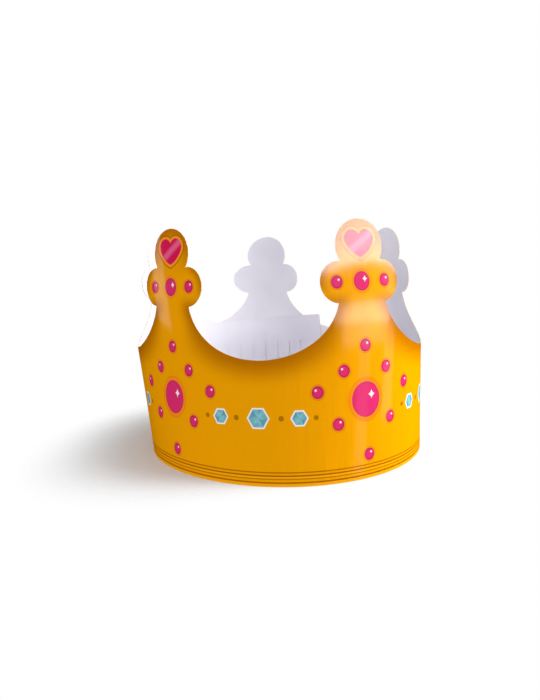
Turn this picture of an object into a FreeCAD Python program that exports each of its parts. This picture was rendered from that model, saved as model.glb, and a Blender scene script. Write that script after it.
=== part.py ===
# Paper crown: one strip of printed card, cut to five trefoil points and closed into a ring.
# Length unit is the millimetre. +Z is up, the bottom edge of the card rests on z = 0 and the
# wearer's front, with the middle point of the strip, faces -Y. The origin is the middle of the
# crown's outline seen from above, on the resting plane.
#
# The card is described flat, by s (along the strip, 0 at the middle point, growing towards +X)
# and h (height above the bottom edge), and is then laid on the surface of the ring.
import FreeCAD, Part
import math
import os

from FreeCAD import Vector

# Card and ring
CARD_T = 0.4
RING_R = 90.0
OVAL = (0.0249, 18.1)
THREE_SIDED = (0.0108, -20.0)
LAYER_GAP = 0.3

# Lean of the wall (outward run per unit of height) and curl of the points above the band,
# each as waves round the ring; the wave of count 0 is the mean
LEAN = ((0, 0.0117, 0.0), (1, 0.0892, -141.0), (2, 0.0995, 23.5), (3, 0.0184, 53.8))
CURL = ((0, -0.063, 0.0), (1, 0.0432, 22.8), (2, 0.0522, 88.8))
CURL_FROM = 63.0

# Scallop between two points: the lower half of an ellipse
POINTS = 5
POINT_PITCH = 122.4
SCALLOP_LOW = 69.2
SCALLOP_A = 47.3
SCALLOP_B = 35.3

# Points: two side lobes set over the scallop's widest place, and a round head over the lobes
LOBE_S = 13.3
LOBE_RISE = 4.9
LOBE_R = 11.3
HEAD_RISE = 18.9
HEAD_R = 14.4

# Tab with the row of slits, at the -s end of the strip, seen inside the ring
TAB_FROM = 36.3
TAB_LENGTH = 83.5
TAB_RISE = 3.75
TAB_CORNER = 2.0
SLITS = 8
SLIT_FROM = 33.2
SLIT_PITCH = 9.7
SLIT_BELOW_TOP = 20.4
SLIT_LENGTH = 26.0
SLIT_W = 0.5
USED_SLIT_W = 1.6

# Tongue at the +s end of the strip, passed through the slit nearest the first point
OUTER_END = 37.5
TONGUE_PLAY = 2.5
TONGUE_REACH = 16.0
TONGUE_CORNER = 6.0
BEND_W = 0.49
BEND_REACH = 6.0
JOG_RUN = 60.0
JOG_FREE = 4.0

# Spacing of the places at which the curves are held
STATION = 18.0
TIGHT_STATION = 0.3
TIGHT_FROM = 1.8
TIGHT_GROWTH = 0.7
ARC_STEP = 2.0
LINE_STEP = 12.0
SPARE = 3.0

# Derived places on the strip
TURN = 2.0 * math.pi * RING_R
FIRST_POINT = -POINT_PITCH * (POINTS - 1) / 2.0
LAST_POINT = -FIRST_POINT
LAYER_STEP = CARD_T + LAYER_GAP
TAB_SLOPE = math.tan(math.radians(TAB_RISE))
TAB_START = FIRST_POINT - TAB_FROM
TAB_END = TAB_START - TAB_LENGTH
BODY_END = LAST_POINT + OUTER_END
USED_SLIT = FIRST_POINT - SLIT_FROM
BEND_AT = USED_SLIT + TURN
TONGUE_END = BEND_AT + TONGUE_REACH
JOG_END = TAB_END + TURN - JOG_FREE
LOBE_H = SCALLOP_LOW + SCALLOP_B + LOBE_RISE
HEAD_H = LOBE_H + HEAD_RISE
TOP_H = HEAD_H + HEAD_R
SURFACE_TOP = TOP_H + SPARE

# The strip is laid in two stretches that meet at the lowest place of the first scallop, so
# that neither stretch overlaps itself
SEAM = FIRST_POINT + POINT_PITCH / 2.0


def waves(bearing, terms):
    """Sum of cosine waves round the ring; each term is (count, size, bearing of its crest)."""
    total = 0.0
    for count, size, crest in terms:
        total += size * math.cos(count * (bearing - math.radians(crest)))
    return total


def plan_scale(bearing):
    """Radius of the bottom edge as a fraction of the mean radius."""
    return 1.0 + waves(bearing, ((2,) + OVAL, (3,) + THREE_SIDED))


def turned(bearing):
    """Share of the strip used up from the front to a bearing."""
    return (bearing
            + OVAL[0] * math.sin(2.0 * (bearing - math.radians(OVAL[1]))) / 2.0
            + OVAL[0] * math.sin(2.0 * math.radians(OVAL[1])) / 2.0
            + THREE_SIDED[0] * math.sin(3.0 * (bearing - math.radians(THREE_SIDED[1]))) / 3.0
            + THREE_SIDED[0] * math.sin(3.0 * math.radians(THREE_SIDED[1])) / 3.0)


def bearing_of(s):
    """Bearing round the ring, from the front, of a place on the strip."""
    target = s / RING_R
    bearing = target
    for _ in range(8):
        bearing -= (turned(bearing) - target) / plan_scale(bearing)
    return bearing


def layer_offset(s):
    """How far the card lies outside its neighbour: out over the tab, in beyond the slit."""
    if s > BEND_AT - BEND_REACH:
        return -LAYER_STEP * math.tanh((s - BEND_AT) / BEND_W)
    along = min(1.0, max(0.0, (s - JOG_END + JOG_RUN) / JOG_RUN))
    return LAYER_STEP * along * along * (3.0 - 2.0 * along)


def radius(s, level):
    """Radius of one of the four control rows of the wall: 0 bottom to 3 top."""
    bearing = bearing_of(s)
    lean = waves(bearing, LEAN)
    curl = waves(bearing, CURL)
    base = RING_R * plan_scale(bearing) + layer_offset(s)
    run = (0.0, CURL_FROM / 2.0, (CURL_FROM + SURFACE_TOP) / 2.0, SURFACE_TOP)[level]
    rise = curl * (SURFACE_TOP - CURL_FROM) ** 2 / RING_R if level == 3 else 0.0
    return base + lean * run + rise


def middle(s, level):
    """Point of the middle of the card's thickness on a control row, in plan."""
    bearing = bearing_of(s)
    r = radius(s, level)
    return r * math.sin(bearing), -r * math.cos(bearing)


def tab_stations():
    """Places where the rows of the first stretch are held, from the tab's end past the seam."""
    count = 3 + int((SEAM - TAB_END) / STATION)
    return [SEAM + (i - count) * STATION for i in range(count + 3)]


def body_stations():
    """Places where the rows of the second stretch are held, close together at the tight bend."""
    places = [SEAM - 2.0 * STATION]
    while places[-1] < TONGUE_END + SPARE:
        away = abs(places[-1] - BEND_AT)
        step = min(STATION, max(TIGHT_STATION, (away - TIGHT_FROM) * TIGHT_GROWTH))
        places.append(places[-1] + step)
    return places


def skin(side, places):
    """One face of the card, as a surface over (s, h); side is +1 outside and -1 inside."""
    heights = (0.0, CURL_FROM / 2.0, (CURL_FROM + SURFACE_TOP) / 2.0, SURFACE_TOP)
    rows = []
    for level in range(4):
        held = []
        for s in places:
            x, y = middle(s, level)
            x0, y0 = middle(s - 0.01, level)
            x1, y1 = middle(s + 0.01, level)
            length = math.hypot(x1 - x0, y1 - y0)
            out = side * CARD_T / 2.0 / length
            held.append(Vector(x + (y1 - y0) * out, y - (x1 - x0) * out, heights[level]))
        row = Part.BSplineCurve()
        row.interpolate(Points=held, Parameters=places)
        rows.append(row)
    poles = [list(column) for column in zip(*[row.getPoles() for row in rows])]
    surface = Part.BSplineSurface()
    surface.buildFromPolesMultsKnots(poles, rows[0].getMultiplicities(), [3, 1, 3],
                                     rows[0].getKnots(), [0.0, CURL_FROM, SURFACE_TOP],
                                     False, False, 3, 2)
    return surface


def line(start, end, places=()):
    """Straight cut on the flat card, held at every station it passes."""
    if abs(end[0] - start[0]) > abs(end[1] - start[1]):
        low, high = min(start[0], end[0]), max(start[0], end[0])
        clear = SPARE / 3.0
        marks = [low] + [s for s in places if low + clear < s < high - clear] + [high]
        shares = [(s - low) / (high - low) for s in marks]
        if end[0] < start[0]:
            shares = [1.0 - share for share in reversed(shares)]
    else:
        count = 1 + int(abs(end[1] - start[1]) / LINE_STEP)
        shares = [i / count for i in range(count + 1)]
    extra = []
    for a, b in zip(shares, shares[1:]):
        extra += [a, (a + b) / 2.0]
    extra.append(1.0)
    return [(start[0] + (end[0] - start[0]) * t, start[1] + (end[1] - start[1]) * t) for t in extra]


def arc(centre, radii, start, end):
    """Cut along part of a circle or an upright ellipse, angles in radians."""
    length = abs(end - start) * max(radii)
    count = max(6, int(length / ARC_STEP))
    points = []
    for i in range(count + 1):
        a = start + (end - start) * i / count
        points.append((centre[0] + radii[0] * math.cos(a), centre[1] + radii[1] * math.sin(a)))
    return points


def crossing(inside, start, end):
    """Value between start and end where the test changes, found by halving."""
    for _ in range(50):
        half = (start + end) / 2.0
        if inside(half):
            start = half
        else:
            end = half
    return (start + end) / 2.0


# Meeting places of the three curves of a point, measured from the point's own centre line
SCALLOP_CENTRE = (POINT_PITCH / 2.0, SCALLOP_LOW + SCALLOP_B)


def on_scallop(angle):
    """Place on the scallop to the right of a point."""
    return (SCALLOP_CENTRE[0] + SCALLOP_A * math.cos(angle),
            SCALLOP_CENTRE[1] + SCALLOP_B * math.sin(angle))


def outside_lobe(angle):
    """True while the scallop has not reached the lobe of the point on its left."""
    s, h = on_scallop(angle)
    return math.hypot(s - LOBE_S, h - LOBE_H) > LOBE_R


def outside_head(angle):
    """True while the lobe has not reached the head."""
    return math.hypot(LOBE_S + LOBE_R * math.cos(angle),
                      LOBE_H + LOBE_R * math.sin(angle) - HEAD_H) > HEAD_R


NECK_ANGLE = crossing(outside_lobe, -math.pi / 2.0, -math.pi * 0.99)
NECK = on_scallop(NECK_ANGLE)
LOBE_START = math.atan2(NECK[1] - LOBE_H, NECK[0] - LOBE_S)
LOBE_STOP = crossing(outside_head, 0.0, math.pi * 0.75)
NOTCH = (LOBE_S + LOBE_R * math.cos(LOBE_STOP), LOBE_H + LOBE_R * math.sin(LOBE_STOP))
HEAD_START = math.atan2(NOTCH[1] - HEAD_H, NOTCH[0])


def trefoil(centre):
    """The three lobes of one point, from its left neck to its right neck."""
    left = arc((centre - LOBE_S, LOBE_H), (LOBE_R, LOBE_R),
               math.pi - LOBE_START, math.pi - LOBE_STOP)
    head = arc((centre, HEAD_H), (HEAD_R, HEAD_R), math.pi - HEAD_START, HEAD_START)
    right = arc((centre + LOBE_S, LOBE_H), (LOBE_R, LOBE_R), LOBE_STOP, LOBE_START)
    return [left, head, right]


def scallop(centre, start, end):
    """Part of the scallop whose lowest place is at centre."""
    return arc((centre, SCALLOP_CENTRE[1]), (SCALLOP_A, SCALLOP_B), start, end)


def tab_outline(places):
    """Cuts round the first stretch, from the bottom of the tab's end over the top and back."""
    half = POINT_PITCH / 2.0
    tab_top = TAB_TOP + TAB_LENGTH * TAB_SLOPE
    tab_low = TAB_LENGTH * TAB_SLOPE
    c = TAB_CORNER
    cuts = [arc((TAB_END + c, tab_low + c), (c, c), -math.pi / 2.0, -math.pi)]
    cuts.append(line((TAB_END, tab_low + c), (TAB_END, tab_top - c)))
    cuts.append(arc((TAB_END + c, tab_top - c), (c, c), math.pi, math.pi / 2.0))
    cuts.append(line((TAB_END + c, tab_top), (TAB_START, TAB_TOP), places))
    cuts.append(scallop(FIRST_POINT - half, TAB_ANGLE, -math.pi - NECK_ANGLE))
    cuts += trefoil(FIRST_POINT)
    cuts.append(scallop(SEAM, NECK_ANGLE, -math.pi / 2.0))
    cuts.append(line((SEAM, SCALLOP_LOW), (SEAM, 0.0)))
    cuts.append(line((SEAM, 0.0), (TAB_START, 0.0), places))
    cuts.append(line((TAB_START, 0.0), (TAB_END + c, tab_low), places))
    return cuts


def body_outline(places):
    """Cuts round the second stretch, from the seam to the tongue and back along the bottom."""
    half = POINT_PITCH / 2.0
    cuts = [scallop(SEAM, -math.pi / 2.0, -math.pi - NECK_ANGLE)]
    for index in range(1, POINTS):
        centre = FIRST_POINT + index * POINT_PITCH
        cuts += trefoil(centre)
        if index < POINTS - 1:
            cuts.append(scallop(centre + half, NECK_ANGLE, -math.pi - NECK_ANGLE))
    stop = -math.acos((OUTER_END - half) / SCALLOP_A)
    cuts.append(scallop(LAST_POINT + half, NECK_ANGLE, stop))
    corner = cuts[-1][-1]
    tongue_top = USED_TOP - TONGUE_PLAY
    tongue_low = USED_TOP - SLIT_LENGTH + TONGUE_PLAY
    r = TONGUE_CORNER
    cuts.append(line(corner, (BODY_END, tongue_top)))
    cuts.append(line((BODY_END, tongue_top), (TONGUE_END - r, tongue_top), places))
    cuts.append(arc((TONGUE_END - r, tongue_top - r), (r, r), math.pi / 2.0, 0.0))
    cuts.append(line((TONGUE_END, tongue_top - r), (TONGUE_END, tongue_low + r)))
    cuts.append(arc((TONGUE_END - r, tongue_low + r), (r, r), 0.0, -math.pi / 2.0))
    cuts.append(line((TONGUE_END - r, tongue_low), (BODY_END, tongue_low), places))
    cuts.append(line((BODY_END, tongue_low), (BODY_END, 0.0)))
    cuts.append(line((BODY_END, 0.0), (SEAM, 0.0), places))
    cuts.append(line((SEAM, 0.0), (SEAM, SCALLOP_LOW)))
    return cuts


def tab_edge(s):
    """Height of the tab's straight top edge."""
    return TAB_TOP + (TAB_START - s) * TAB_SLOPE


# The tab's top edge leaves the scallop beside the first point where TAB_FROM puts it
TAB_ANGLE = -math.acos((POINT_PITCH / 2.0 - TAB_FROM) / SCALLOP_A)
TAB_TOP = SCALLOP_CENTRE[1] + SCALLOP_B * math.sin(TAB_ANGLE)
USED_TOP = tab_edge(USED_SLIT) - SLIT_BELOW_TOP


def slit(index):
    """Cuts round one slit, numbered from the one the tongue uses."""
    s = USED_SLIT - index * SLIT_PITCH
    half = (USED_SLIT_W if index == 0 else SLIT_W) / 2.0
    top = tab_edge(s) - SLIT_BELOW_TOP
    low = top - SLIT_LENGTH
    return [line((s - half, low), (s - half, top)), line((s - half, top), (s + half, top)),
            line((s + half, top), (s + half, low)), line((s + half, low), (s - half, low))]


def laid(cut, surface):
    """A cut carried onto one face of the card."""
    held = [surface.value(s, h) for s, h in cut]
    steps = [0.0]
    for (s0, h0), (s1, h1) in zip(cut, cut[1:]):
        steps.append(steps[-1] + math.hypot(s1 - s0, h1 - h0))
    curve = Part.BSplineCurve()
    curve.interpolate(Points=held, Parameters=steps)
    return curve.toShape()


def rim_face(inner, outer):
    """Flat face of the cut that the crown stands on, between its two long edges."""
    ends = [Part.LineSegment(inner.Vertexes[i].Point, outer.Vertexes[i].Point).toShape()
            for i in (0, -1)]
    return Part.Face(Part.Wire([inner, ends[1], outer, ends[0]]))


def stretch_faces(places, cuts, holes):
    """Both skins and all cut faces of one stretch; the seam between stretches is left open."""
    faces = []
    carried = []
    for side in (-1.0, 1.0):
        surface = skin(side, places)
        edges = [laid(cut, surface) for cut in cuts]
        hole_edges = [[laid(cut, surface) for cut in hole] for hole in holes]
        carried.append((edges, hole_edges))
        face = Part.Face(surface, Part.Wire(edges))
        face.validate()
        if holes:
            face.cutHoles([Part.Wire(hole) for hole in hole_edges])
            face.validate()
        faces.append(face)
    (inner, inner_holes), (outer, outer_holes) = carried
    for cut, low, high in zip(cuts, inner, outer):
        stands = all(h == 0.0 for _, h in cut)
        seam = all(s == SEAM for s, _ in cut)
        if stands:
            faces.append(rim_face(low, high))
        elif not seam:
            faces.append(Part.makeRuledSurface(low, high))
    for hole_low, hole_high in zip(inner_holes, outer_holes):
        for low, high in zip(hole_low, hole_high):
            faces.append(Part.makeRuledSurface(low, high))
    return faces


def crown():
    """The whole crown as one closed solid."""
    places = tab_stations()
    slits = [slit(index) for index in range(SLITS)]
    faces = stretch_faces(places, tab_outline(places), slits)
    places = body_stations()
    faces += stretch_faces(places, body_outline(places), [])
    closed = Part.makeCompound(faces)
    closed.sewShape()
    shell = closed.Shells[0]
    solid = Part.makeSolid(shell)
    if solid.Volume < 0.0:
        solid.reverse()
    box = solid.optimalBoundingBox(False, False)
    solid.translate(Vector(-box.Center.x, -box.Center.y, -box.ZMin))
    return solid


os.makedirs("parts", exist_ok=True)
card = crown()
card.exportStep("parts/crown_card.step")
print("crown_card", card.ShapeType, card.isValid(), round(card.Volume, 1), card.BoundBox)
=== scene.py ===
"""Paper crown: one strip of printed card, cut flat, closed into a ring, on a pale floor."""

import logging
import math
from dataclasses import dataclass, field
from enum import Enum

import bmesh
import bpy
from mathutils import Matrix, Vector

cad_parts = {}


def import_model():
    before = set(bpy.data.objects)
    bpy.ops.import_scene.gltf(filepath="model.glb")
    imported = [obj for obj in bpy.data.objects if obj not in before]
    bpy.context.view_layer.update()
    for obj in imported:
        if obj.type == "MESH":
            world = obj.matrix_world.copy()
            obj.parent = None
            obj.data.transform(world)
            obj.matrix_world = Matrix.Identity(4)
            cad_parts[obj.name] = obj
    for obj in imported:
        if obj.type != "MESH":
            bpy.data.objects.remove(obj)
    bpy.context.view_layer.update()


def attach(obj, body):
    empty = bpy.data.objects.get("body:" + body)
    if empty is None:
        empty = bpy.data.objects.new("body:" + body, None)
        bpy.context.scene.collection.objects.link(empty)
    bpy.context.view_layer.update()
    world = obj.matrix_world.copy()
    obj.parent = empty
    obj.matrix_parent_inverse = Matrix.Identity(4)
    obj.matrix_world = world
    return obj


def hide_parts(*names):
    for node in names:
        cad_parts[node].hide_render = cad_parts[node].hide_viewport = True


LOG = logging.getLogger("paper_crown")

MM = 0.001
FLAT_MAP = "FlatCard"
HALVINGS = 40
NEWTON_STEPS = 6
SAME_PLACE = 1e-5
SAME_CORNER = 1e-4
ALONG = Vector((1.0, 0.0, 0.0))
UPWARD = Vector((0.0, 1.0, 0.0))
HEX_SLOPE = 0.866

Place = tuple[float, float]
Colour = tuple[float, float, float]
Position = tuple[float, float, float]

HEAD: Position = (0.0, -0.1, 0.125)
NECK: Position = (0.0, -0.1, 0.092)
BAND_TOP: Position = (0.0, -0.1, 0.07)
BAND_LOW: Position = (0.0, -0.1, 0.05)
LEFT: Position = (-0.09, -0.02, 0.1)


class Face(Enum):
    """The three kinds of surface that the card has, by material slot."""

    PRINT = 0
    BACK = 1
    CUT = 2


class Corner(Enum):
    """Side of a gem on which its printed highlight sits."""

    RIGHT = 1.0
    LEFT = -1.0


@dataclass(frozen=True)
class CardCut:
    """The flat cut of the strip, in millimetres: s along it from the middle point, h upwards."""

    thickness: float = 0.4
    layer_gap: float = 0.3
    points: int = 5
    pitch: float = 122.4
    head_h: float = 128.3
    head_r: float = 14.4
    lobe_s: float = 13.3
    lobe_h: float = 109.4
    lobe_r: float = 11.3
    scallop_low: float = 69.2
    scallop_a: float = 47.3
    scallop_b: float = 35.3
    tab_from: float = 36.3
    tab_length: float = 83.5
    tab_rise: float = 3.75
    tab_corner: float = 2.0
    slits: int = 8
    slit_from: float = 33.2
    slit_pitch: float = 9.7
    slit_below_top: float = 20.4
    slit_length: float = 26.0
    slit_w: float = 0.3
    used_slit_w: float = 1.6
    outer_end: float = 37.5
    tongue_play: float = 2.5
    slit_gape: float = 0.15
    tongue_reach: float = 16.0
    tongue_corner: float = 6.0
    arc_step: float = 0.6

    @property
    def last_point(self) -> float:
        """Place of the centre line of the last point."""
        return self.pitch * (self.points - 1) / 2.0

    @property
    def scallop_mid(self) -> float:
        """Height of the centre of the scallop's ellipse."""
        return self.scallop_low + self.scallop_b

    @property
    def tab_start(self) -> float:
        """Place where the straight edge of the tab begins."""
        return -self.last_point - self.tab_from

    @property
    def tab_end(self) -> float:
        """Place of the cut end of the tab."""
        return self.tab_start - self.tab_length

    @property
    def tab_slope(self) -> float:
        """Rise of the tab's edges per unit of length."""
        return math.tan(math.radians(self.tab_rise))

    @property
    def body_end(self) -> float:
        """Place of the cut end of the outer layer."""
        return self.last_point + self.outer_end

    def scallop_at(self, away: float) -> float:
        """Height of the scallop's edge at a distance from its lowest place."""
        return self.scallop_mid - self.scallop_b * math.sqrt(1.0 - (away / self.scallop_a) ** 2)

    def tab_edge(self, s: float) -> float:
        """Height of the tab's straight top edge."""
        top = self.scallop_at(self.pitch / 2.0 - self.tab_from)
        return top + (self.tab_start - s) * self.tab_slope

    def slit_place(self, index: int) -> float:
        """Place of a slit, counted from the one that the tongue uses."""
        return -self.last_point - self.slit_from - index * self.slit_pitch

    def openings(self) -> list[tuple[float, float, float, float]]:
        """All the cuts in the tab; the used slit gapes only where the tongue passes.

        Returns:
            For each cut its place, half width, lower end and upper end.
        """
        cuts = []
        for index in range(self.slits):
            half, low, top = self.slit_span(index)
            if index == 0:
                spare = self.tongue_play - self.slit_gape
                cuts.append((self.slit_place(index), half, low + spare, top - spare))
            cuts.append((self.slit_place(index), self.slit_w / 2.0, low, top))
        return cuts

    def slit_span(self, index: int) -> tuple[float, float, float]:
        """Half width, lower end and upper end of a slit."""
        top = self.tab_edge(self.slit_place(index)) - self.slit_below_top
        half = (self.used_slit_w if index == 0 else self.slit_w) / 2.0
        return half, top - self.slit_length, top

    def arc(self, centre: Place, radii: Place, start: float, end: float) -> list[Place]:
        """Cut along part of a circle or an upright ellipse.

        Args:
            centre: Centre of the curve.
            radii: Half width and half height.
            start: Angle of the first place, in radians.
            end: Angle of the last place.

        Returns:
            Places along the curve, both ends included.
        """
        count = max(4, int(abs(end - start) * max(radii) / self.arc_step))
        angles = [start + (end - start) * i / count for i in range(count + 1)]
        (s, h), (wide, high) = centre, radii
        return [(s + wide * math.cos(a), h + high * math.sin(a)) for a in angles]

    def neck_angle(self) -> float:
        """Angle on the scallop's ellipse at which it meets the lobe of the point on its left."""
        near, far = -math.pi / 2.0, -math.pi * 0.99
        for _ in range(HALVINGS):
            half = (near + far) / 2.0
            s = self.pitch / 2.0 + self.scallop_a * math.cos(half)
            h = self.scallop_mid + self.scallop_b * math.sin(half)
            if math.hypot(s - self.lobe_s, h - self.lobe_h) > self.lobe_r:
                near = half
            else:
                far = half
        return near

    def notch_angle(self) -> float:
        """Angle on a lobe's circle at which it meets the head."""
        near, far = 0.0, math.pi * 0.75
        for _ in range(HALVINGS):
            half = (near + far) / 2.0
            s = self.lobe_s + self.lobe_r * math.cos(half)
            h = self.lobe_h + self.lobe_r * math.sin(half)
            if math.hypot(s, h - self.head_h) > self.head_r:
                near = half
            else:
                far = half
        return near

    def trefoil(self, centre: float) -> list[Place]:
        """Cut round the two side lobes and the head of one point.

        Args:
            centre: Place of the point's centre line.

        Returns:
            Places from the left neck to the right neck.
        """
        neck, notch = self.neck_angle(), self.notch_angle()
        neck_s = self.pitch / 2.0 + self.scallop_a * math.cos(neck) - self.lobe_s
        neck_h = self.scallop_mid + self.scallop_b * math.sin(neck) - self.lobe_h
        low = math.atan2(neck_h, neck_s)
        top = math.atan2(
            self.lobe_h + self.lobe_r * math.sin(notch) - self.head_h,
            self.lobe_s + self.lobe_r * math.cos(notch),
        )
        lobe = (self.lobe_r, self.lobe_r)
        cut = self.arc((centre - self.lobe_s, self.lobe_h), lobe, math.pi - low, math.pi - notch)
        cut += self.arc((centre, self.head_h), (self.head_r, self.head_r), math.pi - top, top)[1:]
        return cut + self.arc((centre + self.lobe_s, self.lobe_h), lobe, notch, low)[1:]

    def scallop(self, centre: float, start: float, end: float) -> list[Place]:
        """Cut along part of the scallop whose lowest place is at centre."""
        return self.arc((centre, self.scallop_mid), (self.scallop_a, self.scallop_b), start, end)

    def outline(self) -> list[Place]:
        """The whole cut of the card.

        Returns:
            All places round the card, clockwise from the bottom of the tab's end.
        """
        half, c, r = self.pitch / 2.0, self.tab_corner, self.tongue_corner
        neck = self.neck_angle()
        low = self.tab_length * self.tab_slope
        top = self.tab_edge(self.tab_end)
        cut = self.arc((self.tab_end + c, low + c), (c, c), -math.pi / 2.0, -math.pi)
        cut += self.arc((self.tab_end + c, top - c), (c, c), math.pi, math.pi / 2.0)
        leave = -math.acos((half - self.tab_from) / self.scallop_a)
        cut += self.scallop(-self.last_point - half, leave, -math.pi - neck)
        for index in range(self.points):
            centre = -self.last_point + index * self.pitch
            cut += self.trefoil(centre)[1:]
            if index < self.points - 1:
                cut += self.scallop(centre + half, neck, -math.pi - neck)[1:]
        stop = -math.acos((self.outer_end - half) / self.scallop_a)
        cut += self.scallop(self.last_point + half, neck, stop)[1:]
        _, slit_low, slit_top = self.slit_span(0)
        tongue_top, tongue_low = slit_top - self.tongue_play, slit_low + self.tongue_play
        tip = self.slit_place(0) + Wall().turn + self.tongue_reach - r
        cut.append((self.body_end, tongue_top))
        cut += self.arc((tip, tongue_top - r), (r, r), math.pi / 2.0, 0.0)
        cut += self.arc((tip, tongue_low + r), (r, r), 0.0, -math.pi / 2.0)
        cut += [(self.body_end, tongue_low), (self.body_end, 0.0), (self.tab_start, 0.0)]
        return cut


@dataclass(frozen=True)
class Wave:
    """One cosine wave round the ring."""

    count: int
    size: float
    crest: float

    def at(self, bearing: float) -> float:
        """Value of the wave at a bearing."""
        return self.size * math.cos(self.count * (bearing - math.radians(self.crest)))

    def summed(self, bearing: float) -> float:
        """Value of the wave added up from the front to a bearing."""
        crest = math.radians(self.crest)
        turned = math.sin(self.count * (bearing - crest)) + math.sin(self.count * crest)
        return self.size / self.count * turned


@dataclass(frozen=True)
class Wall:
    """The surface of the ring that the card is laid on, in millimetres."""

    radius: float = 90.0
    oval: tuple[Wave, ...] = (Wave(2, 0.0249, 18.1), Wave(3, 0.0108, -20.0))
    lean: tuple[Wave, ...] = (
        Wave(0, 0.0117, 0.0),
        Wave(1, 0.0892, -141.0),
        Wave(2, 0.0995, 23.5),
        Wave(3, 0.0184, 53.8),
    )
    curl: tuple[Wave, ...] = (
        Wave(0, -0.063, 0.0),
        Wave(1, 0.0432, 22.8),
        Wave(2, 0.0522, 88.8),
    )
    curl_from: float = 63.0
    jog_run: float = 60.0
    jog_free: float = 4.0
    bend_w: float = 0.49
    bend_reach: float = 6.0
    nudge: float = 0.02

    @property
    def turn(self) -> float:
        """Length of card that goes once round the ring."""
        return 2.0 * math.pi * self.radius

    def bearing(self, s: float) -> float:
        """Bearing from the front of a place on the strip, in radians."""
        target = s / self.radius
        bearing = target
        for _ in range(NEWTON_STEPS):
            spent = bearing + sum(w.summed(bearing) for w in self.oval)
            bearing -= (spent - target) / (1.0 + sum(w.at(bearing) for w in self.oval))
        return bearing

    def layer_offset(self, s: float, cut: CardCut) -> float:
        """How far the card stands outside its neighbour in the overlap."""
        step = cut.thickness + cut.layer_gap
        bend_at = cut.slit_place(0) + self.turn
        if s > bend_at - self.bend_reach:
            return -step * math.tanh((s - bend_at) / self.bend_w)
        jog_end = cut.tab_end + self.turn - self.jog_free
        along = (s - jog_end + self.jog_run) / self.jog_run
        along = min(1.0, max(0.0, along))
        return step * along * along * (3.0 - 2.0 * along)

    def middle(self, s: float, h: float, cut: CardCut) -> Vector:
        """Point of the middle of the card's thickness, about the ring's own axis."""
        bearing = self.bearing(s)
        r = self.radius * (1.0 + sum(w.at(bearing) for w in self.oval))
        r += self.layer_offset(s, cut) + h * sum(w.at(bearing) for w in self.lean)
        over = max(h - self.curl_from, 0.0)
        r += over * over * sum(w.at(bearing) for w in self.curl) / self.radius
        return Vector((r * math.sin(bearing), -r * math.cos(bearing), h))

    def normal(self, s: float, h: float, cut: CardCut) -> Vector:
        """Outward direction of the card's printed face."""
        reach = self.nudge
        along = self.middle(s + reach, h, cut) - self.middle(s - reach, h, cut)
        up = self.middle(s, h + reach, cut) - self.middle(s, h - reach, cut)
        return along.cross(up).normalized()

    def plan_normal(self, s: float, h: float, cut: CardCut) -> Vector:
        """Outward direction in plan, along which the thickness is laid."""
        reach = self.nudge / 2.0
        along = self.middle(s + reach, h, cut) - self.middle(s - reach, h, cut)
        return Vector((along.y, -along.x, 0.0)).normalized()


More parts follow.
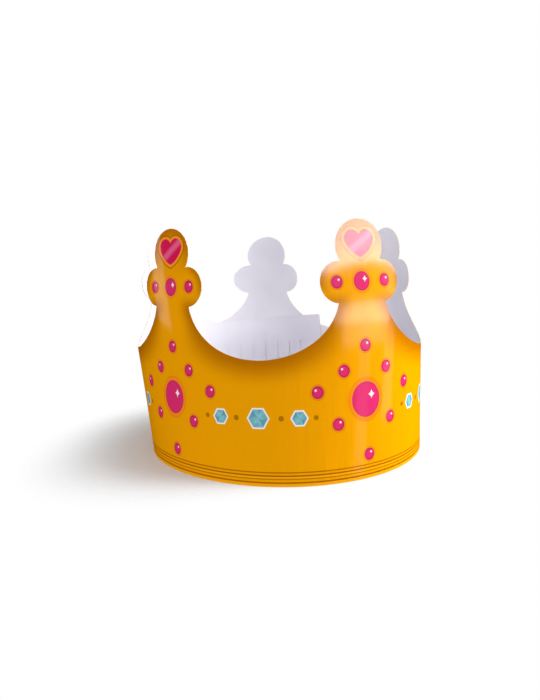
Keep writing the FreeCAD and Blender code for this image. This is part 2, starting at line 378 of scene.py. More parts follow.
@dataclass
class CrownCard:
    """The strip of card as one closed mesh with its flat coordinates as a UV map."""

    cut: CardCut = field(default_factory=CardCut)
    wall: Wall = field(default_factory=Wall)
    centre: Vector = field(default_factory=lambda: Vector((0.2956, -7.7583, 0.0)))
    column: float = 2.5
    tight_column: float = 0.15
    tight_from: float = 1.2
    tight_growth: float = 0.5
    row: float = 5.0
    slit_reach: float = 1.5
    name: str = "printed_card_strip"

    def columns(self) -> list[float]:
        """Places along the strip at which the flat card is divided so that it can bend."""
        bend = self.cut.slit_place(0) + self.wall.turn
        places, s = [], self.cut.tab_end + self.column
        while s < bend + self.cut.tongue_reach:
            places.append(s)
            growth = (abs(s - bend) - self.tight_from) * self.tight_growth
            s += min(self.column, max(self.tight_column, growth))
        return places

    def divide(self, sheet: bmesh.types.BMesh, place: float, across: Vector) -> None:
        """Divides the flat sheet along one straight line.

        Args:
            sheet: The flat sheet.
            place: Distance of the line from the sheet's own zero.
            across: Direction in which that distance is measured.
        """
        geometry = sheet.verts[:] + sheet.edges[:] + sheet.faces[:]
        bmesh.ops.bisect_plane(
            sheet, geom=geometry, dist=SAME_PLACE, plane_co=across * place, plane_no=across
        )

    def divide_near(
        self, sheet: bmesh.types.BMesh, near: list[bmesh.types.BMFace], place: float, across: Vector
    ) -> list[bmesh.types.BMFace]:
        """Divides only some faces of the flat sheet along one straight line.

        Args:
            sheet: The flat sheet.
            near: The faces to divide.
            place: Distance of the line from the sheet's own zero.
            across: Direction in which that distance is measured.

        Returns:
            The same faces after the cut, with the new ones.
        """
        near = [f for f in near if f.is_valid]
        around = list({v for f in near for v in f.verts} | {e for f in near for e in f.edges})
        made = bmesh.ops.bisect_plane(
            sheet, geom=around + near, dist=SAME_PLACE, plane_co=across * place, plane_no=across
        )
        return [g for g in made["geom"] if isinstance(g, bmesh.types.BMFace)]

    def open_slits(self, sheet: bmesh.types.BMesh) -> None:
        """Cuts the slits of the tab out of the flat sheet.

        Args:
            sheet: The flat sheet, already divided so that it can bend.
        """
        for s, half, low, top in self.cut.openings():
            reach = self.column * self.slit_reach
            near = [f for f in sheet.faces if abs(f.calc_center_median().x - s) < reach]
            for place, across in (
                (s - half, ALONG), (s + half, ALONG), (low, UPWARD), (top, UPWARD)
            ):
                near = self.divide_near(sheet, near, place, across)
            inside = [
                f
                for f in near
                if f.is_valid
                and abs(f.calc_center_median().x - s) < half
                and low < f.calc_center_median().y < top
            ]
            bmesh.ops.delete(sheet, geom=inside, context="FACES")

    def flat_sheet(self) -> bmesh.types.BMesh:
        """The card as it is cut from the board, printed side up, with its thickness.

        Returns:
            A mesh whose x is s, y is h and z is the depth through the card, in millimetres.
        """
        sheet = bmesh.new()
        ring = [sheet.verts.new((s, h, 0.0)) for s, h in reversed(self.cut.outline())]
        sheet.faces.new(ring)
        bmesh.ops.remove_doubles(sheet, verts=sheet.verts[:], dist=SAME_CORNER)
        for s in self.columns():
            self.divide(sheet, s, ALONG)
        rows = int((self.cut.head_h + self.cut.head_r) / self.row)
        for index in range(1, rows + 1):
            self.divide(sheet, index * self.row, UPWARD)
        self.open_slits(sheet)
        bmesh.ops.recalc_face_normals(sheet, faces=sheet.faces[:])
        if sum(f.normal.z * f.calc_area() for f in sheet.faces) < 0.0:
            bmesh.ops.reverse_faces(sheet, faces=sheet.faces[:])
        bmesh.ops.solidify(sheet, geom=sheet.faces[:], thickness=self.cut.thickness)
        depths = [v.co.z for v in sheet.verts]
        middle = (max(depths) + min(depths)) / 2.0
        for vert in sheet.verts:
            vert.co.z -= middle
        return sheet

    def kind(self, face: bmesh.types.BMFace) -> Face:
        """Kind of surface that a face of the flat sheet is."""
        if abs(face.normal.z) < 0.5:
            return Face.CUT
        return Face.PRINT if face.normal.z > 0.0 else Face.BACK

    def build(self) -> bpy.types.Object:
        """Lays the flat sheet on the ring.

        Returns:
            The finished piece, with each face's material index set to its kind.
        """
        sheet = self.flat_sheet()
        flat = sheet.loops.layers.uv.new(FLAT_MAP)
        for face in sheet.faces:
            face.smooth = True
            face.material_index = self.kind(face).value
            for loop in face.loops:
                loop[flat].uv = (loop.vert.co.x, loop.vert.co.y)
        for vert in sheet.verts:
            s, h, depth = vert.co
            middle = self.wall.middle(s, h, self.cut)
            point = middle + self.wall.plan_normal(s, h, self.cut) * depth
            vert.co = (point + self.centre) * MM
        sheet.normal_update()
        mesh = bpy.data.meshes.new(self.name)
        sheet.to_mesh(mesh)
        sheet.free()
        self.set_normals(mesh)
        piece = bpy.data.objects.new(self.name, mesh)
        bpy.context.scene.collection.objects.link(piece)
        return piece

    def set_normals(self, mesh: bpy.types.Mesh) -> None:
        """Gives both faces of the card the exact direction of the wall, for a clean gloss.

        Args:
            mesh: The card laid on the ring, with its flat coordinates.
        """
        flat = mesh.uv_layers[FLAT_MAP].data
        known: dict[Place, Vector] = {}
        normals = []
        for polygon in mesh.polygons:
            for index in polygon.loop_indices:
                if polygon.material_index == Face.CUT.value:
                    normals.append(polygon.normal.copy())
                    continue
                s, h = flat[index].uv
                key = (round(s, 3), round(h, 3))
                if key not in known:
                    known[key] = self.wall.normal(s, h, self.cut)
                out = known[key]
                normals.append(out if polygon.material_index == Face.PRINT.value else -out)
        mesh.normals_split_custom_set(normals)


class Socket:
    """A value in a material's node tree, with arithmetic on it written as plain operators."""

    def __init__(self, tree: bpy.types.NodeTree, socket: bpy.types.NodeSocket) -> None:
        """Keeps the tree and the output that carries the value."""
        self.tree = tree
        self.socket = socket

    def feed(self, slot: bpy.types.NodeSocket, value: "Socket | float") -> None:
        """Links or writes one input."""
        if isinstance(value, Socket):
            self.tree.links.new(value.socket, slot)
        else:
            slot.default_value = value

    def maths(self, operation: str, *values: "Socket | float") -> "Socket":
        """Makes one Math node.

        Args:
            operation: Blender's name of the operation.
            values: The node's inputs in order.

        Returns:
            The node's result.
        """
        node = self.tree.nodes.new("ShaderNodeMath")
        node.operation = operation
        for slot, value in zip(node.inputs, values):
            self.feed(slot, value)
        return Socket(self.tree, node.outputs[0])

    def __add__(self, other: "Socket | float") -> "Socket":
        """Sum."""
        return self.maths("ADD", self, other)

    def __radd__(self, other: float) -> "Socket":
        """Sum with a number on the left."""
        return self.maths("ADD", other, self)

    def __sub__(self, other: "Socket | float") -> "Socket":
        """Difference."""
        return self.maths("SUBTRACT", self, other)

    def __rsub__(self, other: float) -> "Socket":
        """Difference from a number on the left."""
        return self.maths("SUBTRACT", other, self)

    def __mul__(self, other: "Socket | float") -> "Socket":
        """Product."""
        return self.maths("MULTIPLY", self, other)

    def __truediv__(self, other: "Socket | float") -> "Socket":
        """Quotient."""
        return self.maths("DIVIDE", self, other)

    def __abs__(self) -> "Socket":
        """Size without its sign."""
        return self.maths("ABSOLUTE", self)

    def least(self, other: "Socket | float") -> "Socket":
        """The smaller of two values."""
        return self.maths("MINIMUM", self, other)

    def most(self, other: "Socket | float") -> "Socket":
        """The larger of two values."""
        return self.maths("MAXIMUM", self, other)

    def power(self, exponent: float) -> "Socket":
        """The value raised to a power."""
        return self.maths("POWER", self, exponent)

    def length(self, other: "Socket") -> "Socket":
        """Length of the line whose two parts are this value and another."""
        return (self * self + other * other).root()

    def root(self) -> "Socket":
        """Square root."""
        return self.maths("SQRT", self)

    def sine(self) -> "Socket":
        """Sine of the value, in radians."""
        return self.maths("SINE", self)

    def angle(self, along: "Socket") -> "Socket":
        """Angle of the line that rises by this value and runs along by another."""
        return self.maths("ARCTAN2", self, along)

    def whole(self) -> "Socket":
        """The whole number at or below the value."""
        return self.maths("FLOOR", self)

    def nearest(self) -> "Socket":
        """The nearest whole number."""
        return self.maths("ROUND", self)

    def under(self, other: "Socket") -> "Socket":
        """1 where the value is under another, and 0 elsewhere."""
        return self.maths("LESS_THAN", self, other)

    def step(self, start: float, end: float) -> "Socket":
        """Smooth step from 0 at start to 1 at end; end may be the smaller."""
        node = self.tree.nodes.new("ShaderNodeMapRange")
        node.interpolation_type = "SMOOTHSTEP"
        low, high, flip = (start, end, False) if start < end else (end, start, True)
        self.feed(node.inputs["Value"], self)
        node.inputs["From Min"].default_value = low
        node.inputs["From Max"].default_value = high
        node.inputs["To Min"].default_value = 1.0 if flip else 0.0
        node.inputs["To Max"].default_value = 0.0 if flip else 1.0
        return Socket(self.tree, node.outputs["Result"])


def from_srgb(red: int, green: int, blue: int) -> Colour:
    """Linear colour of a screen colour."""
    parts = [v / 255.0 for v in (red, green, blue)]
    return tuple(v / 12.92 if v < 0.04045 else ((v + 0.055) / 1.055) ** 2.4 for v in parts)


class Shade:
    """A material's tree: its shader, its flat coordinates and the nodes that mix its colours."""

    def __init__(self, name: str) -> None:
        """Starts an empty material with one Principled shader."""
        self.material = bpy.data.materials.new(name)
        self.material.use_nodes = True
        self.tree = self.material.node_tree
        self.tree.nodes.clear()
        out = self.tree.nodes.new("ShaderNodeOutputMaterial")
        self.shader = self.tree.nodes.new("ShaderNodeBsdfPrincipled")
        self.tree.links.new(self.shader.outputs[0], out.inputs["Surface"])

    def flat(self) -> tuple[Socket, Socket]:
        """Flat coordinates of the card, s and h, in millimetres."""
        node = self.tree.nodes.new("ShaderNodeUVMap")
        node.uv_map = FLAT_MAP
        split = self.tree.nodes.new("ShaderNodeSeparateXYZ")
        self.tree.links.new(node.outputs[0], split.inputs[0])
        return Socket(self.tree, split.outputs[0]), Socket(self.tree, split.outputs[1])

    def vector(self, x: Socket | float, y: Socket | float, z: Socket | float = 0.0) -> Socket:
        """A vector of three values."""
        node = self.tree.nodes.new("ShaderNodeCombineXYZ")
        for slot, value in zip(node.inputs, (x, y, z)):
            Socket(self.tree, node.outputs[0]).feed(slot, value)
        return Socket(self.tree, node.outputs[0])

    def noise(self, place: Socket, scale: float, detail: float = 2.0) -> Socket:
        """Soft noise about 0.5 at a place."""
        node = self.tree.nodes.new("ShaderNodeTexNoise")
        node.inputs["Scale"].default_value = scale
        node.inputs["Detail"].default_value = detail
        self.tree.links.new(place.socket, node.inputs["Vector"])
        return Socket(self.tree, node.outputs[0])

    def cells(self, place: Socket, scale: float) -> Socket:
        """A grey for each cell of a cracked pattern."""
        node = self.tree.nodes.new("ShaderNodeTexVoronoi")
        node.inputs["Scale"].default_value = scale
        self.tree.links.new(place.socket, node.inputs["Vector"])
        split = self.tree.nodes.new("ShaderNodeSeparateXYZ")
        self.tree.links.new(node.outputs["Color"], split.inputs[0])
        return Socket(self.tree, split.outputs[0])

    def mix(self, under: Socket | Colour, over: Socket | Colour, share: Socket | float) -> Socket:
        """One colour laid over another by a share."""
        node = self.tree.nodes.new("ShaderNodeMix")
        node.data_type = "RGBA"
        for slot, value in ((node.inputs[6], under), (node.inputs[7], over)):
            if isinstance(value, Socket):
                self.tree.links.new(value.socket, slot)
            else:
                slot.default_value = (*value, 1.0)
        helper = Socket(self.tree, node.outputs[2])
        helper.feed(node.inputs[0], share)
        return helper

    def bump(self, height: Socket, distance: float, strength: float = 1.0) -> None:
        """Raises the surface by a height field."""
        node = self.tree.nodes.new("ShaderNodeBump")
        node.inputs["Strength"].default_value = strength
        node.inputs["Distance"].default_value = distance
        self.tree.links.new(height.socket, node.inputs["Height"])
        self.tree.links.new(node.outputs[0], self.shader.inputs["Normal"])

    def set(self, **values: float | Colour) -> None:
        """Writes the shader's plain sockets, named with underscores for spaces."""
        for name, value in values.items():
            slot = self.shader.inputs[name.replace("_", " ")]
            slot.default_value = (*value, 1.0) if isinstance(value, tuple) else value

    def colour(self, value: Socket) -> None:
        """Links the base colour."""
        self.tree.links.new(value.socket, self.shader.inputs["Base Color"])


@dataclass(frozen=True)
class Gem:
    """One printed gem, placed from the centre line of its point."""

    s: float
    h: float
    corner: Corner = Corner.RIGHT


@dataclass(frozen=True)
class HemLine:
    """One printed line along the bottom edge."""

    h: float
    width: float
    share: float


@dataclass(frozen=True)
class GoldPrint:
    """The printed face: gold with shaded edges, gems, a heart, a hexagon row and hem lines."""

    cut: CardCut
    gold: Colour = (0.87, 0.345, 0.0)
    gold_light: Colour = (0.89, 0.365, 0.0)
    shade: Colour = (0.46, 0.14, 0.0)
    ring: Colour = from_srgb(246, 140, 24)
    ring_line: Colour = from_srgb(214, 100, 16)
    gem: Colour = from_srgb(220, 46, 110)
    gem_rim: Colour = from_srgb(184, 22, 80)
    heart: Colour = from_srgb(214, 24, 82)
    heart_sheen: Colour = from_srgb(236, 120, 160)
    heart_border_ink: Colour = from_srgb(246, 150, 36)
    white: Colour = from_srgb(244, 240, 236)
    teal: Colour = from_srgb(84, 156, 172)
    teal_light: Colour = from_srgb(150, 206, 218)
    dot: Colour = from_srgb(168, 104, 8)
    hem: Colour = (0.42, 0.115, 0.0)
    hem_light: Colour = (0.95, 0.43, 0.01)
    small_r: Place = (3.35, 3.55)
    large_r: Place = (8.9, 9.9)
    large_ring_r: Place = (10.9, 12.3)
    large_at: Place = (-0.4, 45.0)
    middle_r: Place = (4.8, 5.2)
    middle_at: Place = (-0.3, 109.5)
    small_gems: tuple[Gem, ...] = (
        Gem(-0.1, 74.9),
        Gem(-13.5, 61.8, Corner.LEFT),
        Gem(13.7, 61.9),
        Gem(-28.7, 51.2, Corner.LEFT),
        Gem(29.9, 51.0),
        Gem(-17.7, 32.9),
        Gem(17.0, 32.7),
        Gem(1.0, 13.8),
        Gem(-15.1, 109.5),
        Gem(14.7, 109.6),
    )
    glint_at: float = 1.15
    glint_r: float = 0.58
    heart_h: float = 129.5
    heart_shoulder: Place = (4.2, 2.75)
    heart_shoulder_r: float = 4.75
    heart_flank: Place = (-6.06, 7.63)
    heart_flank_r: float = 16.15
    heart_clip: float = 0.72
    heart_border: float = 1.35
    heart_line: Place = (1.85, 0.7)
    heart_slant: float = 0.72
    heart_slant_at: float = 0.3
    heart_slant_w: float = 4.2
    hexagon_at: Place = (-1.1, 37.7)
    hexagon_large: float = 6.65
    hexagon_small: float = 5.1
    hexagon_small_s: float = 23.1
    hexagon_border: float = 0.85
    dot_s: Place = (13.0, 32.2)
    dot_r: float = 1.5
    hem_lines: tuple[HemLine, ...] = (
        HemLine(7.95, 0.7, 0.9),
        HemLine(6.1, 0.8, 1.0),
        HemLine(4.3, 0.6, 0.8),
        HemLine(2.3, 0.85, 1.0),
    )
    hem_bright: HemLine = HemLine(5.25, 0.75, 0.75)
    hem_foot: float = 1.7
    soft: float = 0.12
    scallop_reach: float = 36.0
    scallop_shade: float = 9.0
    scallop_shade_low: float = 10.0
    scallop_low_part: Place = (0.35, 1.0)
    band_top: Place = (106.0, 96.0)
    lobe_rim: Place = (0.45, 1.0)
    lobe_side: Place = (9.0, 19.0)
    lobe_low: Place = (99.0, 112.0)
    lobe_top: Place = (124.0, 119.0)
    head_rim: Place = (0.25, 1.0)
    head_low: Place = (113.0, 133.0)

    def inside(self, distance: Socket, edge: float = 0.0, soft: float | None = None) -> Socket:
        """Share that is 1 where a distance is under an edge."""
        wide = self.soft if soft is None else soft
        return distance.step(edge + wide, edge - wide)

    def band(
        self, distance: Socket, centre: float, width: float, soft: float | None = None
    ) -> Socket:
        """Share that is 1 along a line of some width round a distance."""
        return self.inside(abs(distance - centre), width / 2.0, soft)

    def oval(self, u: Socket, v: Socket, centre: Place, radii: Place) -> Socket:
        """Distance outside an ellipse, negative within, true to the millimetre near its edge."""
        x, y = (u - centre[0]) / radii[0], (v - centre[1]) / radii[1]
        return (x.length(y) - 1.0) * ((radii[0] + radii[1]) / 2.0)

    def star(self, u: Socket, v: Socket, centre: Place, radii: Place) -> Socket:
        """Share inside a four-pointed sparkle."""
        x, y = abs(u - centre[0]) / radii[0], abs(v - centre[1]) / radii[1]
        return (x.power(0.62) + y.power(0.62)).step(1.06, 0.94)

    def shaded_gold(self, ink: Shade, u: Socket, v: Socket, w: Socket) -> Socket:
        """Gold darkened towards the scallops and the rims of the lobes.

        Args:
            ink: The material's tree.
            u: Distance along the strip from the nearest point's centre line.
            v: Height.
            w: Distance along the strip from the nearest scallop's centre.

        Returns:
            The ground colour of the print.
        """
        cut = self.cut
        x, y = w / cut.scallop_a, (v - cut.scallop_mid) / cut.scallop_b
        depth = (x.length(y) - 1.0) * self.scallop_reach
        low = (0.0 - y).step(*self.scallop_low_part)
        edge = (depth / (self.scallop_shade + low * self.scallop_shade_low)).step(1.0, 0.0)
        edge = edge * edge.power(0.5) * v.step(*self.band_top)
        side = abs(u)
        lobe = (side - cut.lobe_s).length(v - cut.lobe_h) / cut.lobe_r
        lobe = lobe.step(*self.lobe_rim) * side.step(*self.lobe_side)
        lobe = lobe * v.step(*self.lobe_low) * v.step(*self.lobe_top)
        head = u.length(v - cut.head_h) / cut.head_r
        head = head.step(*self.head_rim) * v.step(*self.head_low)
        brown = edge.most(lobe * 0.9).most(head * 0.95)
        grain = ink.noise(ink.vector(u * 0.05, v * 0.05), 3.0)
        ground = ink.mix(self.gold, self.gold_light, grain)
        return ink.mix(ground, self.shade, brown * 0.92)

    def hem_rows(self, ink: Shade, under: Socket, v: Socket) -> Socket:
        """The fine lines along the bottom edge."""
        bright = self.hem_bright
        share = self.band(v, bright.h, bright.width, 0.3) * bright.share
        colour = ink.mix(under, self.hem_light, share)
        colour = ink.mix(colour, self.hem_light, self.inside(v, self.hem_foot, 0.5) * 0.6)
        for line in self.hem_lines:
            colour = ink.mix(colour, self.hem, self.band(v, line.h, line.width, 0.22) * line.share)
        return colour

    def small(self, ink: Shade, under: Socket, u: Socket, v: Socket) -> Socket:
        """The small round gems with their thin setting lines and highlights.

        Args:
            ink: The material's tree.
            under: The colour so far.
            u: Distance along the strip from the nearest point's centre line.
            v: Height.

        Returns:
            The colour with the gems printed on it.
        """
        near, glint = None, None
        for gem in self.small_gems:
            away = self.oval(u, v, (gem.s, gem.h), self.small_r)
            shine_s = gem.s + self.glint_at * gem.corner.value
            shine = (u - shine_s).length(v - (gem.h + self.glint_at))
            near = away if near is None else near.least(away)
            glint = shine if glint is None else glint.least(shine)
        colour = ink.mix(under, self.ring, self.inside(near, 0.6) * 0.6)
        colour = ink.mix(colour, self.ring_line, self.band(near, 0.65, 0.35) * 0.8)
        colour = ink.mix(colour, self.gem_rim, self.inside(near))
        colour = ink.mix(colour, self.gem, near.step(-0.15, -1.3))
        return ink.mix(colour, self.white, self.inside(glint, self.glint_r, 0.3))

    def large(self, ink: Shade, under: Socket, u: Socket, v: Socket) -> Socket:
        """The large gem, its orange setting and its sparkle."""
        s, h = self.large_at
        away = self.oval(u, v, (s, h), self.large_r)
        outer = self.oval(u, v, (s, h), self.large_ring_r)
        colour = ink.mix(under, self.ring, self.inside(outer))
        colour = ink.mix(colour, self.ring_line, self.band(outer, 0.0, 0.3) * 0.75)
        colour = ink.mix(colour, self.gem_rim, self.inside(away))
        colour = ink.mix(colour, self.gem, away.step(-0.1, -0.7))
        return ink.mix(colour, self.white, self.star(u, v, (s + 3.5, h + 2.6), (2.35, 2.9)))

    def middle(self, ink: Shade, under: Socket, u: Socket, v: Socket) -> Socket:
        """The gem between the two lobes, with its setting and sparkle."""
        s, h = self.middle_at
        away = self.oval(u, v, (s, h), self.middle_r)
        colour = ink.mix(under, self.ring, self.inside(away, 1.1) * 0.8)
        colour = ink.mix(colour, self.ring_line, self.band(away, 1.2, 0.22) * 0.7)
        colour = ink.mix(colour, self.gem_rim, self.inside(away))
        colour = ink.mix(colour, self.gem, away.step(-0.1, -0.9))
        return ink.mix(colour, self.white, self.star(u, v, (s + 1.9, h + 1.2), (1.6, 2.0)))

    def heart_shape(self, u: Socket, v: Socket) -> Socket:
        """Distance outside the heart: round shoulders over two long curved flanks."""
        side, y = abs(u), v - self.heart_h
        (shoulder_s, shoulder_h), (flank_s, flank_h) = self.heart_shoulder, self.heart_flank
        shoulder = (side - shoulder_s).length(y - shoulder_h) - self.heart_shoulder_r
        flank = (side - flank_s).length(y - flank_h) - self.heart_flank_r
        return shoulder.least(flank.most(y - self.heart_clip))

    def head(self, ink: Shade, under: Socket, u: Socket, v: Socket) -> Socket:
        """The heart on the head of the point, with its yellow border and a slanting sheen."""
        away = self.heart_shape(u, v)
        colour = ink.mix(under, self.hem, self.band(away, *self.heart_line) * 0.9)
        colour = ink.mix(colour, self.heart_border_ink, self.inside(away, self.heart_border))
        colour = ink.mix(colour, self.heart, self.inside(away))
        slant = (v - self.heart_h) - u * self.heart_slant
        sheen = self.band(slant, self.heart_slant_at, self.heart_slant_w, 1.6)
        sheen = sheen * self.inside(away) * 0.6
        return ink.mix(colour, self.heart_sheen, sheen)

    def facets(
        self, big: Socket, little: Socket, w: Socket, x: Socket, v: Socket, chips: Socket
    ) -> Socket:
        """Lightness of the triangular facets of a hexagon.

        Args:
            big: Distance outside the large hexagon.
            little: Distance outside the nearest small hexagon.
            w: Distance along the strip from the large hexagon.
            x: Distance along the strip from the nearest small hexagon.
            v: Height.
            chips: A broken pattern that varies the facets.

        Returns:
            A share of the light ink.
        """
        choose = big.under(little)
        side = x + choose * (w - self.hexagon_at[0] - x)
        y = v - self.hexagon_at[1]
        size = self.hexagon_small + choose * (self.hexagon_large - self.hexagon_small)
        turn = y.angle(side) / (math.pi / 3.0)
        sector = turn.whole()
        within = turn - sector
        tone = (sector * 2.1 + 0.6).sine() * 0.22
        half = within.step(0.49, 0.51) * 0.16
        reach = side.length(y) / size
        star = (reach - 0.28 - abs(within - 0.5) * 0.5).step(0.03, -0.03) * 0.3
        spokes = (abs(within - 0.5) - 0.5).step(-0.04, -0.01) * 0.25
        return tone + half + star + spokes + chips * 0.22 + 0.12

    def six_sided(self, side: Socket, y: Socket, size: float) -> Socket:
        """Distance outside a hexagon that has a corner to its left and right."""
        return (side * HEX_SLOPE + y * 0.5).most(y) - size * HEX_SLOPE

    def hexagon(self, ink: Shade, under: Socket, w: Socket, v: Socket, place: Socket) -> Socket:
        """The row of hexagons and dots between two points.

        Args:
            ink: The material's tree.
            under: The colour so far.
            w: Distance along the strip from the nearest scallop's centre.
            v: Height.
            place: Flat coordinates as a vector, for the broken pattern in the facets.

        Returns:
            The colour with the row printed on it.
        """
        side = abs(w - self.hexagon_at[0])
        y = abs(v - self.hexagon_at[1])
        big = self.six_sided(side, y, self.hexagon_large)
        x = side - self.hexagon_small_s
        little = self.six_sided(abs(x), y, self.hexagon_small)
        away = big.least(little)
        light = self.facets(big, little, w, x, v, ink.cells(place, 0.45))
        face = ink.mix(self.teal, self.teal_light, light)
        colour = ink.mix(under, self.ring_line, self.inside(away, 0.18, 0.15) * 0.35)
        colour = ink.mix(colour, self.white, self.inside(away))
        colour = ink.mix(colour, face, self.inside(away, -self.hexagon_border))
        dots = (side - self.dot_s[0]).length(y).least((side - self.dot_s[1]).length(y) + 0.15)
        return ink.mix(colour, self.dot, self.inside(dots, self.dot_r, 0.2) * 0.9)

    def build(self) -> bpy.types.Material:
        """Makes the material of the printed face.

        Returns:
            The material, from the gold ground up to the heart, with the laminate over it.
        """
        ink = Shade("gold_print_laminate")
        s, v = ink.flat()
        pitch = self.cut.pitch
        turns = (s / pitch).nearest()
        u = s - turns * pitch
        half = (s / pitch - 0.5).nearest() + 0.5
        w = s - half * pitch
        colour = self.shaded_gold(ink, u, v, w)
        colour = self.hem_rows(ink, colour, v)
        colour = self.hexagon(ink, colour, w, v, ink.vector(s, v))
        colour = self.small(ink, colour, u, v)
        colour = self.large(ink, colour, u, v)
        colour = self.middle(ink, colour, u, v)
        colour = self.head(ink, colour, u, v)
        ink.colour(colour)
        ink.set(Roughness=0.6, Specular_IOR_Level=0.0)
        ink.set(Coat_Weight=0.35, Coat_Roughness=0.09, Coat_IOR=1.5)
        wave = ink.noise(ink.vector(s * 0.09, v * 0.012), 1.0, 3.0)
        fibre = ink.noise(ink.vector(s, v), 0.9, 3.0)
        ink.bump(wave + fibre * 0.07, 0.0016, 0.5)
        return ink.material


@dataclass(frozen=True)
class WhiteBack:
    """The unprinted inside of the card: matt white board."""

    white: Colour = from_srgb(235, 232, 240)
    cool: Colour = from_srgb(227, 222, 232)

    def build(self) -> bpy.types.Material:
        """Makes the material of the inside."""
        board = Shade("white_card_back")
        s, v = board.flat()
        cloud = board.noise(board.vector(s * 0.02, v * 0.02), 1.0, 3.0)
        board.colour(board.mix(self.white, self.cool, cloud.step(0.35, 0.7)))
        board.set(Roughness=0.72, Specular_IOR_Level=0.3)
        fibre = board.noise(board.vector(s, v), 1.6, 4.0)
        wave = board.noise(board.vector(s * 0.05, v * 0.01), 1.0)
        board.bump(fibre * 0.12 + wave, 0.0008, 0.5)
        return board.material


@dataclass(frozen=True)
class CutEdge:
    """The cut edge of the card: pale board fibres."""

    cream: Colour = from_srgb(246, 226, 178)
    tan: Colour = from_srgb(226, 200, 150)

    def build(self) -> bpy.types.Material:
        """Makes the material of the cut edges."""
        board = Shade("pale_cut_edge")
        s, v = board.flat()
        fibre = board.noise(board.vector(s, v), 2.2, 3.0)
        board.colour(board.mix(self.cream, self.tan, fibre.step(0.4, 0.7)))
        board.set(Roughness=0.85, Specular_IOR_Level=0.2)
        return board.material


@dataclass(frozen=True)
class View:
    """The photograph's camera, about the ring's own axis, in units of the ring's radius."""

    away: float = 4.4507
    up: float = 1.3203
    bearing: float = 29.61
    yaw: float = -1.175
    pitch: float = 7.945
    roll: float = -2.26
    focal_px: float = 595.0
    photo_px: float = 700.0
    film: float = 36.0

    def build(self, card: CrownCard) -> bpy.types.Object:
        """Places the photograph's camera.

        Args:
            card: The crown, which gives the unit and the middle of the ring.

        Returns:
            The camera, which the scene now uses.
        """
        radius = card.wall.radius * MM
        turn = Matrix.Rotation(-math.radians(self.bearing), 3, "Z")
        yaw, pitch, roll = (math.radians(a) for a in (self.yaw, self.pitch, self.roll))
        level = math.cos(pitch)
        forward = Vector((math.sin(yaw) * level, math.cos(yaw) * level, -math.sin(pitch)))
        right = Vector((math.cos(yaw), -math.sin(yaw), 0.0))
        up = right.cross(forward)
        across = right * math.cos(roll) + up * math.sin(roll)
        upright = up * math.cos(roll) - right * math.sin(roll)
        axes = [turn @ a for a in (across, upright, -forward)]
        place = turn @ Vector((0.0, -self.away, self.up)) * radius + card.centre * MM
        data = bpy.data.cameras.new("photo_camera")
        data.sensor_width = self.film
        data.lens = self.focal_px * self.film / self.photo_px
        data.clip_start, data.clip_end = 0.01, 20.0
        camera = bpy.data.objects.new("photo_camera", data)
        camera.matrix_world = Matrix.Translation(place) @ Matrix(axes).transposed().to_4x4()
        bpy.context.scene.collection.objects.link(camera)
        bpy.context.scene.camera = camera
        return camera


@dataclass(frozen=True)
class Softbox:
    """One area lamp, placed by its bearing from the front, its elevation and its distance."""

    name: str
    bearing: float
    elevation: float
    away: float
    width: float
    height: float
    radiance: float
    aim: Position = (0.0, 0.0, 0.07)
    roll: float = 0.0
    diffuse: bool = True
    glossy: bool = True

    def build(self) -> bpy.types.Object:
        """Hangs the lamp so that it faces its aim.

        Returns:
            The lamp, hidden from the camera.
        """
        bearing = math.radians(self.bearing)
        rise = math.radians(self.elevation)
        level = math.cos(rise)
        out = Vector((math.sin(bearing) * level, -math.cos(bearing) * level, math.sin(rise)))
        data = bpy.data.lights.new(self.name, "AREA")
        data.shape = "RECTANGLE"
        data.size, data.size_y = self.width, self.height
        data.energy = self.radiance * self.width * self.height * math.pi
        lamp = bpy.data.objects.new(self.name, data)
        place = Matrix.Translation(Vector(self.aim) + out * self.away)
        turn = out.to_track_quat("Z", "Y").to_matrix().to_4x4()
        lamp.matrix_world = place @ turn @ Matrix.Rotation(math.radians(self.roll), 4, "Z")
        lamp.visible_camera = False
        lamp.visible_diffuse = self.diffuse
        lamp.visible_glossy = self.glossy
        bpy.context.scene.collection.objects.link(lamp)
        return lamp


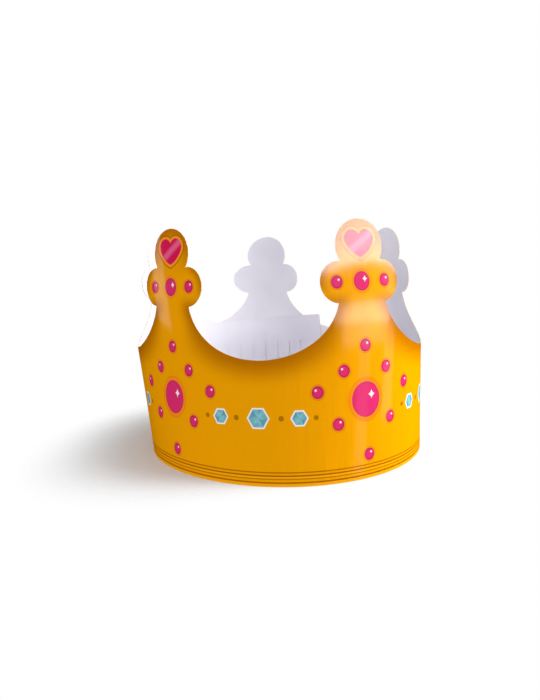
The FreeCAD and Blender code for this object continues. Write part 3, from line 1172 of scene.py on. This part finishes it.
@dataclass(frozen=True)
class Studio:
    """White backdrop, pale floor and soft lamps."""

    ambient: float = 0.56
    floor_half: float = 3.0
    floor_paint: Colour = from_srgb(238, 244, 249)
    floor_fade: Place = (0.178, 0.1)
    floor_fade_front: float = 1.7
    lamps: tuple[Softbox, ...] = (
        Softbox("key_softbox", 50.0, 52.0, 1.3, 0.6, 0.6, 5.6, glossy=False),
        Softbox("side_softbox", 55.0, 11.0, 0.55, 0.35, 0.25, 10.8, glossy=False),
        Softbox("front_fill", -48.0, 6.0, 1.6, 0.9, 0.3, 7.5, glossy=False),
        Softbox("sheen_upper", 26.0, 21.0, 1.2, 1.9, 0.5, 30.0, HEAD, -8.0, diffuse=False),
        Softbox("sheen_neck", 26.0, 0.9, 1.2, 1.3, 0.09, 11.0, NECK, -6.0, diffuse=False),
        Softbox("sheen_below_neck", 27.0, -1.8, 1.2, 1.0, 0.17, 3.6, NECK, -4.0, diffuse=False),
        Softbox("sheen_streak_near", 27.0, -10.0, 1.2, 0.24, 0.45, 1.4, BAND_LOW, diffuse=False),
        Softbox("sheen_streak_far", 55.0, -5.0, 1.2, 0.26, 0.5, 2.0, BAND_TOP, diffuse=False),
        Softbox("left_sheen", -128.0, 8.0, 1.2, 0.25, 0.5, 3.0, LEFT, diffuse=False),
    )

    def white(self, tree: bpy.types.NodeTree, level: float) -> bpy.types.NodeSocket:
        """A plain white backdrop of some strength."""
        node = tree.nodes.new("ShaderNodeBackground")
        node.inputs["Color"].default_value = (1.0, 1.0, 1.0, 1.0)
        node.inputs["Strength"].default_value = level
        return node.outputs[0]

    def world(self) -> None:
        """White to the camera, dark to the gloss, and a plain level of light on the crown."""
        world = bpy.data.worlds.new("studio_white")
        bpy.context.scene.world = world
        world.use_nodes = True
        tree = world.node_tree
        tree.nodes.clear()
        path = tree.nodes.new("ShaderNodeLightPath")
        light, seen, dim = (self.white(tree, level) for level in (self.ambient, 1.0, 0.0))
        glossy = tree.nodes.new("ShaderNodeMixShader")
        mix = tree.nodes.new("ShaderNodeMixShader")
        out = tree.nodes.new("ShaderNodeOutputWorld")
        tree.links.new(path.outputs["Is Glossy Ray"], glossy.inputs[0])
        tree.links.new(light, glossy.inputs[1])
        tree.links.new(dim, glossy.inputs[2])
        tree.links.new(path.outputs["Is Camera Ray"], mix.inputs[0])
        tree.links.new(glossy.outputs[0], mix.inputs[1])
        tree.links.new(seen, mix.inputs[2])
        tree.links.new(mix.outputs[0], out.inputs["Surface"])

    def floor(self) -> bpy.types.Object:
        """A pale floor that fades into the backdrop away from the crown.

        Returns:
            The floor.
        """
        plane = bmesh.new()
        bmesh.ops.create_grid(plane, x_segments=1, y_segments=1, size=self.floor_half)
        mesh = bpy.data.meshes.new("studio_floor")
        plane.to_mesh(mesh)
        plane.free()
        floor = bpy.data.objects.new("studio_floor", mesh)
        bpy.context.scene.collection.objects.link(floor)
        paint = Shade("pale_floor")
        paint.set(Base_Color=self.floor_paint, Roughness=0.9, Specular_IOR_Level=0.1)
        node = paint.tree.nodes.new("ShaderNodeTexCoord")
        split = paint.tree.nodes.new("ShaderNodeSeparateXYZ")
        paint.tree.links.new(node.outputs["Object"], split.inputs[0])
        x, y = (Socket(paint.tree, split.outputs[i]) for i in range(2))
        fade = x.length((y * self.floor_fade_front).least(y)).step(*self.floor_fade)
        paint.tree.links.new(fade.socket, paint.shader.inputs["Alpha"])
        mesh.materials.append(paint.material)
        floor.visible_glossy = False
        return floor

    def build(self) -> None:
        """Sets up the backdrop, the floor and the lamps."""
        self.world()
        self.floor()
        for lamp in self.lamps:
            lamp.build()
        bpy.context.scene.view_settings.view_transform = "Standard"


def main() -> None:
    """Builds the crown, dresses it and lights it."""
    logging.basicConfig(level=logging.INFO, format="%(message)s")
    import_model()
    card = CrownCard()
    piece = card.build()
    for finish in (GoldPrint(card.cut), WhiteBack(), CutEdge()):
        piece.data.materials.append(finish.build())
    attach(piece, "root")
    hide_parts("crown_card")
    LOG.info("printed card strip: %d faces", len(piece.data.polygons))
    View().build(card)
    Studio().build()
    LOG.info("studio and camera placed")


if __name__ == "__main__":
    main()
